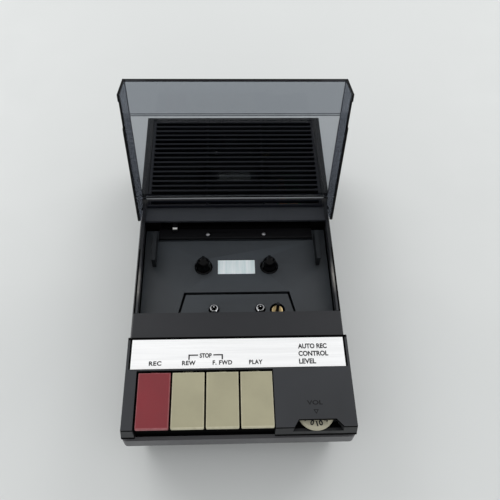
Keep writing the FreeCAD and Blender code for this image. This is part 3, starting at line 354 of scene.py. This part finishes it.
def smoked_clear():
    """Clear smoked acrylic, darker beyond the bend, with painted shade: black where its edges are seen
    edge-on, darker side skirts, and dark lines at the bend and below the lip; the lip's front face is a
    painted highlight.
    """
    m = Recipe("smoked_lid")
    x, y, z = m.axes()
    sideways = m.math("ABSOLUTE", x, 0)
    facing = m.band(m.axes("Normal")[1], *FACING_FRONT, 1.0, 0.0)
    beyond_bend = m.band(z, LID_BEND_Z - 0.0001, LID_BEND_Z + 0.0001)
    # Painted shade: a dark line along the bend, and the lid darkened below the lip's height; the specks are
    # dust.
    crease = m.between(z, LID_BEND_Z - 0.0005, LID_BEND_Z + 0.0004)
    lip = m.band(z, LID_LIP_Z - 0.0003, LID_LIP_Z, 1.0, 0.0)
    specks = m.patches(scale=1500, detail=1.0, low=0.76, high=0.78)
    skirt = m.band(sideways, LID_SKIRT_X - 0.0002, LID_SKIRT_X)
    # The lip's front face is a painted highlight: a pale, opaque line.
    lip_highlight = m.product(m.between(z, *LID_LIP_FACE_Z), facing, m.band(sideways, *LID_LIP_END_X, 1.0, 0.0))
    # Distances from the hinge's axis: square to the open panel, and along it.
    behind = m.math("SUBTRACT", y, LID_HINGE_Y)
    above = m.math("SUBTRACT", z, LID_HINGE_Z)
    across = m.math("ADD", m.product(behind, math.sin(LID_OPEN)), m.product(above, math.cos(LID_OPEN)))
    along = m.math("ADD", m.product(above, math.sin(LID_OPEN)), m.product(behind, -math.cos(LID_OPEN)))
    rim = m.band(across, LID_RIM_DEPTH - 0.0002, LID_RIM_DEPTH, 1.0, 0.0)
    end = m.band(along, LID_REACH - 0.0009, LID_REACH - 0.0007)

    panel = m.mixed(beyond_bend, LID_PANEL, LID_FLAP)
    specked_and_shaded = m.mixed(m.most(crease, specks, lip), panel, LID_SPECK_AND_SHADE)
    # Painted shade: the side skirts are painted darker, for the long slanting path through them.
    skirt_shaded = m.mixed(skirt, specked_and_shaded, LID_SKIRT_SHADE)
    # Painted shade: black on the rims, the skirts' front-facing faces and the panel's far end, as seen
    # edge-on.
    edge_shaded = m.mixed(m.most(rim, m.product(skirt, facing), end), skirt_shaded, LID_EDGE_SHADE)
    tint = m.mixed(lip_highlight, edge_shaded, LID_LIP_HIGHLIGHT)
    m.colour(tint)
    m.rough(m.patches(scale=60, detail=5, rough=0.6, stretch=(1, 1, 0.3), low=0.4, high=0.75,
                      out=(0.015, 0.03)))
    m.link(m.band(lip_highlight, 0.0, 1.0, 1.0, 0.0), m.shader.inputs["Transmission Weight"])
    m.constant("Specular IOR Level", LID_SPECULAR)
    m.constant("IOR", LID_IOR)
    # Lamps shine through the lid as through tinted film.
    clear = m.add("ShaderNodeBsdfTransparent")
    m.link(tint, clear.inputs["Color"])
    mix = m.add("ShaderNodeMixShader")
    m.link(m.add("ShaderNodeLightPath").outputs["Is Shadow Ray"], mix.inputs[0])
    m.link(m.shader.outputs["BSDF"], mix.inputs[1])
    m.link(clear.outputs["BSDF"], mix.inputs[2])
    m.link(mix.outputs[0], m.output.inputs["Surface"])
    return m.material


# ---------------------------------------------------------------- metals, ink, rubber and paper

METAL_DEPTH = 0.000004
STAINED = 0.8
BRIGHT_METALLIC = 0.35


def metal(name, tone, rough):
    """Plain metal with uneven polish and faint tarnish."""
    m = Recipe(name)
    stain = m.patches(scale=60, detail=5, low=0.4, high=0.75)
    m.colour(m.mixed(stain, tone, scaled(tone, STAINED)))
    m.rough(m.patches(scale=900, detail=4, rough=0.6, low=0.3, high=0.7, out=(rough - 0.07, rough + 0.1)))
    m.bump(m.noise(900, detail=3, rough=0.6), METAL_DEPTH, strength=0.5)
    m.constant("Metallic", 1.0)
    return m.material


def brushed_strip():
    """Bright anodised aluminium, brushed from side to side."""
    m = Recipe("brushed_strip")
    line = m.noise(900, detail=6, rough=0.65, stretch=(0.02, 1.6, 1))
    broad = m.noise(240, detail=3, rough=0.5, stretch=(0.03, 1.2, 1))
    streaks = m.math("ADD", m.product(line, 0.65), m.product(broad, 0.35))
    m.colour(m.mixed(m.band(streaks, 0.38, 0.6), linear(244, 244, 244), linear(255, 255, 255)))
    m.rough(m.band(line, 0.3, 0.7, 0.42, 0.58))
    m.bump(streaks, METAL_DEPTH, strength=0.4)
    m.constant("Metallic", BRIGHT_METALLIC)
    return m.material


def reflector():
    """Small bright plate with faint upright polishing streaks."""
    m = Recipe("reflector_plate")
    streaks = m.noise(420, detail=4, rough=0.6, stretch=(1.0, 0.06, 1))
    m.colour(m.mixed(m.band(streaks, 0.35, 0.65), linear(222, 238, 238), linear(250, 255, 255)))
    m.rough(m.band(streaks, 0.3, 0.7, 0.28, 0.42))
    m.bump(streaks, 0.000003, strength=0.4)
    m.constant("Metallic", BRIGHT_METALLIC)
    return m.material


PIN_X, PIN_Y = 0.01435, -0.0375
POST_RADII = (0.0003, 0.0016)
POST_DARK_REFLECTION = (0.004, 0.004, 0.004, 1.0)


def collar_metal():
    """Bright locating collars; round each post's nose a ring is painted black as a dark reflection, and the
    nose is left bright.
    """
    m = Recipe("collar_metal")
    x, y, _ = m.axes()
    across = m.math("SUBTRACT", m.math("ABSOLUTE", x, 0), PIN_X)
    along = m.math("ADD", y, -PIN_Y)
    reach = m.math("SQRT", m.math("ADD", m.product(across, across), m.product(along, along)), 0)
    stain = m.patches(scale=60, detail=5, low=0.4, high=0.75)
    plated = m.mixed(stain, linear(240, 240, 242), linear(215, 214, 212))
    # Painted reflection: a black ring round each post's bright nose.
    m.colour(m.mixed(m.between(reach, *POST_RADII), plated, POST_DARK_REFLECTION))
    m.rough(m.patches(scale=900, detail=4, rough=0.6, low=0.3, high=0.7, out=(0.06, 0.2)))
    m.bump(m.noise(900, detail=3, rough=0.6), METAL_DEPTH, strength=0.5)
    m.constant("Metallic", 1.0)
    return m.material


BURNISHED_Y, BURNISHED_Z = (0.0202, 0.0217), (0.0410, 0.0416)
LEVER_BLACK = (0.005, 0.005, 0.006, 1.0)


def feeler_metal():
    """Blackened lever with one bright burnished spot where tabs touch it."""
    m = Recipe("feeler_metal")
    _, y, z = m.axes()
    spot = m.product(m.between(y, *BURNISHED_Y, blur=0.0002), m.band(z, *BURNISHED_Z))
    stain = m.patches(scale=300, detail=4, low=0.4, high=0.7)
    bright = m.mixed(stain, linear(250, 250, 248), linear(225, 225, 220))
    m.colour(m.mixed(spot, LEVER_BLACK, bright))
    m.rough(m.patches(scale=900, detail=3, low=0.3, high=0.7, out=(0.45, 0.6)))
    m.bump(m.noise(900, detail=3), METAL_DEPTH, strength=0.5)
    m.constant("Specular IOR Level", 0.3)
    return m.material


def ink(name, tone):
    """Printed ink, a little uneven where the screen left it thin."""
    m = Recipe(name)
    m.colour(m.mixed(m.patches(scale=700, detail=3, low=0.4, high=0.75), tone, scaled(tone, 1.8)))
    m.rough(m.patches(scale=400, detail=2, low=0.3, high=0.7, out=(0.5, 0.65)))
    m.constant("Specular IOR Level", 0.25)
    return m.material


def rubber(name, tone):
    """Dull rubber with a coarse bloom."""
    m = Recipe(name)
    m.colour(m.mixed(m.patches(scale=300, detail=4, low=0.4, high=0.7), tone, scaled(tone, 1.7)))
    m.rough(m.patches(scale=150, detail=3, low=0.3, high=0.7, out=(0.7, 0.85)))
    m.bump(m.noise(1800, detail=3), 0.00003, strength=0.6)
    return m.material


def paper(name, tone):
    """Felted paper, matt and fibrous."""
    m = Recipe(name)
    fibre = m.noise(900, detail=6, rough=0.7)
    m.colour(m.mixed(m.band(fibre, 0.35, 0.7), tone, scaled(tone, 1.6)))
    m.rough(m.band(fibre, 0.3, 0.7, 0.85, 0.95))
    m.bump(fibre, 0.00005, strength=0.7)
    return m.material


# ---------------------------------------------------------------- which node gets which finish

MATERIALS = {
    "deck": moulded("deck_plastic", linear(25, 27, 31), rough=0.44, shade=case_recesses, scuffs_and_sheen=rim_scuffs),
    "well": moulded("well_plastic", linear(38, 42, 46), rough=0.42, shade=guide_ribs),
    "bar": moulded("cover_plastic", linear(11, 12, 17), rough=0.42),
    "lower": moulded("lower_plastic", linear(72, 72, 74), rough=0.42),
    "grille": moulded("grille_plastic", linear(9, 11, 18), rough=0.44, dust=0.2, specular=0.3),
    "cream": moulded("cream_plastic", linear(166, 162, 142), rough=0.5, dust=0.0, specular=0.4),
    "gloss_black": moulded("spindle_plastic", linear(3, 3, 4), rough=0.16, grain=600, depth=0.000004,
                           dust=0.1, specular=0.12),
    "black": moulded("dull_black_plastic", linear(8, 8, 10), rough=0.5, dust=0.1, specular=0.12),
    "circuit": moulded("circuit_board", linear(32, 84, 44), rough=0.35, dust=0.0),
    "component": moulded("component_bodies", linear(120, 84, 50), rough=0.35, dust=0.0),
    "magnet": moulded("black_enamel", linear(30, 31, 33), rough=0.3, dust=0.0),
    "red": key_plastic("red_key_plastic", linear(121, 26, 36)),
    "beige": key_plastic("beige_key_plastic", linear(161, 156, 129)),
    "lid": smoked_clear(),
    "strip": brushed_strip(),
    "card": reflector(),
    "collar": collar_metal(),
    "feeler": feeler_metal(),
    "steel": metal("steel", linear(168, 168, 170), rough=0.3),
    "zinc": metal("zinc_plate", linear(140, 136, 124), rough=0.42),
    "dark_steel": metal("dark_steel", linear(40, 40, 42), rough=0.5),
    "polished": metal("polished_steel", linear(240, 240, 242), rough=0.1),
    "brass": metal("brass", linear(176, 154, 112), rough=0.34),
    "rubber": rubber("black_rubber", linear(28, 28, 29)),
    "cone": paper("cone_paper", linear(38, 36, 35)),
    "ink": ink("label_ink", linear(24, 24, 26)),
    "mark": ink("moulded_mark", linear(6, 6, 8)),
}

FINISH = {
    "deck": ["upper_case"],
    "well": ["deck_plate", "head_plate"],
    "bar": ["head_cover"],
    "lower": ["lower_case", "battery_door"],
    "grille": ["speaker_grille"],
    "cream": ["volume_wheel"],
    "gloss_black": ["supply_spindle", "takeup_spindle"],
    # Dull black; for the reel tables it also stands in for the shade in the gap round the spindles.
    "black": ["supply_reel_table", "takeup_reel_table", "rear_shelf", "lid_hinge_pins"],
    "circuit": ["circuit_board"],
    "component": ["board_components"],
    "magnet": ["speaker_frame", "speaker_magnet", "erase_head"],
    "red": ["record_key"],
    "beige": ["rewind_key", "fast_forward_key", "play_key"],
    "lid": ["cassette_lid"],
    "strip": ["fascia_strip"],
    "card": ["tape_reflector"],
    "collar": ["locating_pins"],
    "feeler": ["record_safety_feeler"],
    "steel": ["key_shaft", "key_springs", "reel_pins", "motor_shaft", "pinch_axle", "case_screws",
              "battery_contacts", "battery_springs", "jack_sockets", "flywheel", "record_switch",
              "deck_screws"],
    "zinc": ["thrust_bracket", "motor_bracket", "head_carriage", "pinch_arm"],
    # Dark steel; for the key frame, latch bar and chassis it also stands in for the shade in the slot under
    # the keys.
    "dark_steel": ["key_frame", "latch_bar", "volume_pot", "chassis_plate", "chassis_posts",
                   "capstan_shaft"],
    "polished": ["motor", "play_head"],
    "brass": ["capstan_bearing", "motor_pulley"],
    "rubber": ["rubber_feet", "drive_belt", "pinch_roller"],
    "cone": ["speaker_cone"],
}

# Width of the soft edge on each node's corners, in millimetres
PLAIN_EDGE = 0.12
EDGE = {
    "upper_case": 0.35, "lower_case": 0.5, "head_cover": 0.35, "deck_plate": 0.25, "head_plate": 0.2,
    "rear_shelf": 0.2, "cassette_lid": 0.22, "speaker_grille": 0.25, "fascia_strip": 0.08,
    "record_key": 0.35, "rewind_key": 0.35, "fast_forward_key": 0.35, "play_key": 0.35,
    "volume_wheel": 0.2, "supply_spindle": 0.25, "takeup_spindle": 0.25, "battery_door": 0.3,
    "rubber_feet": 0.4, "play_head": 0.3,
}
WELD_DISTANCE = 0.000002
CORNER = math.radians(28)
CRISP_CORNER = math.radians(30)
FACE_WEIGHT = 100


def finish_node(name, key):
    """Give a CAD node its material, and take the knife edge off its corners."""
    item = NODES[name]
    stored = item.data.attributes.get("custom_normal")
    if stored:
        item.data.attributes.remove(stored)
    item.data.materials.clear()
    item.data.materials.append(MATERIALS[key])
    for face in item.data.polygons:
        face.use_smooth = True
    weld = item.modifiers.new("weld", "WELD")
    weld.merge_threshold = WELD_DISTANCE
    bevel = item.modifiers.new("soft_edges", "BEVEL")
    bevel.width = EDGE.get(name, PLAIN_EDGE) * MM
    bevel.segments = 2
    bevel.limit_method = "ANGLE"
    bevel.angle_limit = CORNER
    bevel.use_clamp_overlap = True
    split = item.modifiers.new("crisp_corners", "EDGE_SPLIT")
    split.split_angle = CRISP_CORNER
    flat = item.modifiers.new("flat_faces", "WEIGHTED_NORMAL")
    flat.mode = "FACE_AREA"
    flat.weight = FACE_WEIGHT


for key, names in FINISH.items():
    for name in names:
        finish_node(name, key)


# ---------------------------------------------------------------- printed and moulded marks

PRINT = 0.05
STRIP_TOP = STRIP_HIGH.z / MM
DECK_TOP = 50.0
LABEL_WEIGHT = 0.034
CURVE_STEPS = 6
FLAT = 1e-9


def keep(piece, body):
    """Put a finished piece on its body."""
    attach(piece, body)


def mesh_piece(name, mesh_data, key):
    piece = bpy.data.objects.new(name, mesh_data)
    bpy.context.scene.collection.objects.link(piece)
    piece.data.materials.append(MATERIALS[key])
    return piece


def lettering(name, words, height, centre, width, key="ink", turn=0.0, weight=LABEL_WEIGHT, spacing=1.0):
    """Raised print: text cut to a height and a width in millimetres, centred on a point."""
    curve = bpy.data.curves.new(name, "FONT")
    curve.body = words
    curve.extrude = PRINT * MM / 2
    curve.offset = weight
    curve.space_character = spacing
    curve.resolution_u = CURVE_STEPS
    probe = bpy.data.objects.new(name + "_probe", curve)
    bpy.context.scene.collection.objects.link(probe)
    bpy.context.view_layer.update()
    mesh_data = bpy.data.meshes.new_from_object(probe.evaluated_get(bpy.context.evaluated_depsgraph_get()))
    bpy.data.objects.remove(probe)
    xs, ys, zs = zip(*(vertex.co for vertex in mesh_data.vertices))
    scale = Matrix.Diagonal((width * MM / (max(xs) - min(xs)), height * MM / (max(ys) - min(ys)),
                             PRINT * MM / max(max(zs) - min(zs), FLAT), 1.0))
    middle = Vector(((max(xs) + min(xs)) / 2, (max(ys) + min(ys)) / 2, min(zs)))
    place = Matrix.Translation(Vector(centre) * MM) @ Matrix.Rotation(turn, 4, "Z")
    mesh_data.transform(place @ scale @ Matrix.Translation(-middle))
    return mesh_piece(name, mesh_data, key)


def flat_bar(bm, start, end, width, low, high):
    """A thin straight bar between two points, in millimetres."""
    a = Vector((start[0], start[1], 0))
    b = Vector((end[0], end[1], 0))
    along = (b - a).normalized() * (width / 2)
    side = Vector((-along.y, along.x, 0))
    corners = [a - along - side, b + along - side, b + along + side, a - along + side]
    rings = [[bm.verts.new((c + Vector((0, 0, z))) * MM) for c in corners] for z in (low, high)]
    bm.faces.new(reversed(rings[0]))
    bm.faces.new(rings[1])
    for i in range(4):
        j = (i + 1) % 4
        bm.faces.new((rings[0][i], rings[0][j], rings[1][j], rings[1][i]))


def line_marks(name, strokes, width, low, key="ink"):
    """Printed lines that stand on a face at the height `low`, in millimetres."""
    bm = bmesh.new()
    for start, end in strokes:
        flat_bar(bm, start, end, width, low, low + PRINT)
    mesh_data = bpy.data.meshes.new(name)
    bm.to_mesh(mesh_data)
    bm.free()
    return mesh_piece(name, mesh_data, key)


# Words and their widths; all places and sizes of the print are in millimetres.
KEY_LABELS = {"record_key": ("REC", 7.0), "rewind_key": ("REW", 7.6),
              "fast_forward_key": ("F. FWD", 11.0), "play_key": ("PLAY", 7.6)}
KEY_LABEL_Y, KEY_LABEL_HEIGHT, KEY_LABEL_SPACING = -78.5, 2.7, 1.12
for node_name, (words, wide) in KEY_LABELS.items():
    low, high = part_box(node_name)
    spot = ((low.x + high.x) / 2 / MM, KEY_LABEL_Y, STRIP_TOP)
    label = lettering(node_name + "_label", words, KEY_LABEL_HEIGHT, spot, wide, spacing=KEY_LABEL_SPACING)
    keep(label, "case")

STOP_X = (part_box("rewind_key")[1].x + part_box("fast_forward_key")[0].x) / 2 / MM
STOP_Y, STOP_HEIGHT, STOP_WIDTH = -74.1, 2.8, 6.8
stop_label = lettering("stop_label", "STOP", STOP_HEIGHT, (STOP_X, STOP_Y, STRIP_TOP), STOP_WIDTH)
keep(stop_label, "case")

BRACKET_INNER, BRACKET_OUTER, BRACKET_RISE, BRACKET_DROP, BRACKET_LINE = 4.7, 9.4, 0.3, 2.1, 0.75
bracket = []
for side in (-1, 1):
    corner = (STOP_X + side * BRACKET_OUTER, STOP_Y + BRACKET_RISE)
    bracket.append(((STOP_X + side * BRACKET_INNER, STOP_Y + BRACKET_RISE), corner))
    bracket.append((corner, (corner[0], STOP_Y - BRACKET_DROP)))
keep(line_marks("stop_bracket", bracket, BRACKET_LINE, STRIP_TOP), "case")

LEVEL_LINES = (("AUTO REC", 16.6, -69.2), ("CONTROL", 17.0, -73.8), ("LEVEL", 9.6, -78.5))
LEVEL_LEFT, LEVEL_HEIGHT = 34.3, 3.1
for words, wide, line_y in LEVEL_LINES:
    text = lettering("level_text_" + words.split()[0].lower(), words, LEVEL_HEIGHT,
                     (LEVEL_LEFT + wide / 2, line_y, STRIP_TOP), wide)
    keep(text, "case")

VOLUME_PLACE, VOLUME_HEIGHT, VOLUME_WIDTH, VOLUME_WEIGHT = (41.2, -102.7, DECK_TOP), 2.5, 8.6, 0.02
volume_label = lettering("volume_label", "VOL", VOLUME_HEIGHT, VOLUME_PLACE, VOLUME_WIDTH, "mark",
                         weight=VOLUME_WEIGHT)
keep(volume_label, "case")
POINTER, POINTER_LINE = ((41.5, -108.7), (40.4, -106.8), (42.6, -106.8)), 0.36
pointer = line_marks("volume_pointer", list(zip(POINTER, POINTER[1:] + POINTER[:1])), POINTER_LINE,
                     DECK_TOP, "mark")
keep(pointer, "case")

WHEEL_LOW, WHEEL_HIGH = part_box("volume_wheel")
WHEEL_X, WHEEL_Y = (WHEEL_LOW.x + WHEEL_HIGH.x) / 2 / MM, (WHEEL_LOW.y + WHEEL_HIGH.y) / 2 / MM
DIAL_NUMBERS = 11
DIAL_STEP = 360 / DIAL_NUMBERS
DIAL_START, DIAL_LEAD = -90, 0.66
DIGIT_RADIUS, DIGIT_HEIGHT, DIGIT_WIDTH, TEN_WIDTH, DIGIT_WEIGHT = 7.1, 3.0, 2.0, 3.6, 0.045
for number in range(DIAL_NUMBERS):
    azimuth = math.radians(DIAL_START - DIAL_STEP * (number + DIAL_LEAD))
    spot = (WHEEL_X + DIGIT_RADIUS * math.cos(azimuth), WHEEL_Y + DIGIT_RADIUS * math.sin(azimuth),
            WHEEL_HIGH.z / MM)
    digits = lettering(f"dial_number_{number}", str(number), DIGIT_HEIGHT, spot,
                       TEN_WIDTH if number == 10 else DIGIT_WIDTH, turn=azimuth + math.pi / 2,
                       weight=DIGIT_WEIGHT)
    keep(digits, "volume")


# ---------------------------------------------------------------- floor, light and camera

TABLE_SIZE = 6.0
TABLE_TONES = (linear(213, 215, 214), linear(218, 220, 219))
SKY_TONE, SKY_STRENGTH = (0.985, 0.995, 1.0, 1.0), 0.76
LAMP_AIM = (0, 0.1, 0)
CAMERA_ELEVATION, CAMERA_YAW, CAMERA_ROLL = 56.21, 3.81, 2.60
CAMERA_PLACE = (-5.61, -216.29, 370.45)
LENS, SENSOR_WIDTH, CLIP_START = 43.69, 36.0, 0.01


def floor():
    """The pale table top that the recorder stands on."""
    m = Recipe("pale_table")
    m.colour(m.mixed(m.patches(scale=2.2, detail=3, low=0.3, high=0.7), *TABLE_TONES))
    m.rough(m.patches(scale=30, detail=4, low=0.3, high=0.7, out=(0.5, 0.62)))
    bpy.ops.mesh.primitive_plane_add(size=TABLE_SIZE, location=(0, 0, 0))
    table = bpy.context.object
    table.name = "table_top"
    table.data.materials.append(m.material)


def area_light(name, place, size, power):
    """A soft rectangular lamp that points at the recorder."""
    data = bpy.data.lights.new(name, "AREA")
    data.shape = "RECTANGLE"
    data.size, data.size_y = size
    data.energy = power
    lamp = bpy.data.objects.new(name, data)
    lamp.location = place
    lamp.rotation_euler = (Vector(LAMP_AIM) - Vector(place)).to_track_quat("-Z", "Y").to_euler()
    bpy.context.scene.collection.objects.link(lamp)


def world():
    """Even light from a nearly white room."""
    scene_world = bpy.data.worlds.new("studio")
    scene_world.use_nodes = True
    back = scene_world.node_tree.nodes["Background"]
    back.inputs["Color"].default_value = SKY_TONE
    back.inputs["Strength"].default_value = SKY_STRENGTH
    bpy.context.scene.world = scene_world


def camera():
    """The viewpoint: above the front edge, looking down at the deck."""
    elevation, yaw, roll = (math.radians(a) for a in (CAMERA_ELEVATION, CAMERA_YAW, CAMERA_ROLL))
    forward = Vector((math.sin(yaw) * math.cos(elevation), math.cos(yaw) * math.cos(elevation),
                      -math.sin(elevation)))
    level = Vector((math.cos(yaw), -math.sin(yaw), 0))
    up = level.cross(forward)
    right = level * math.cos(roll) + up * math.sin(roll)
    top = up * math.cos(roll) - level * math.sin(roll)
    data = bpy.data.cameras.new("camera")
    data.sensor_width = SENSOR_WIDTH
    data.lens = LENS
    data.clip_start = CLIP_START
    eye = bpy.data.objects.new("camera", data)
    turn = Matrix((right, top, -forward)).transposed().to_4x4()
    eye.matrix_world = Matrix.Translation(Vector(CAMERA_PLACE) * MM) @ turn
    bpy.context.scene.collection.objects.link(eye)
    bpy.context.scene.camera = eye


floor()
world()
camera()
area_light("window", place=(-1.2, 1.3, 1.2), size=(1.4, 1.0), power=13)
area_light("far_wall", place=(1.3, 1.2, 1.2), size=(1.2, 1.0), power=10)
bpy.context.scene.view_settings.view_transform = "Standard"
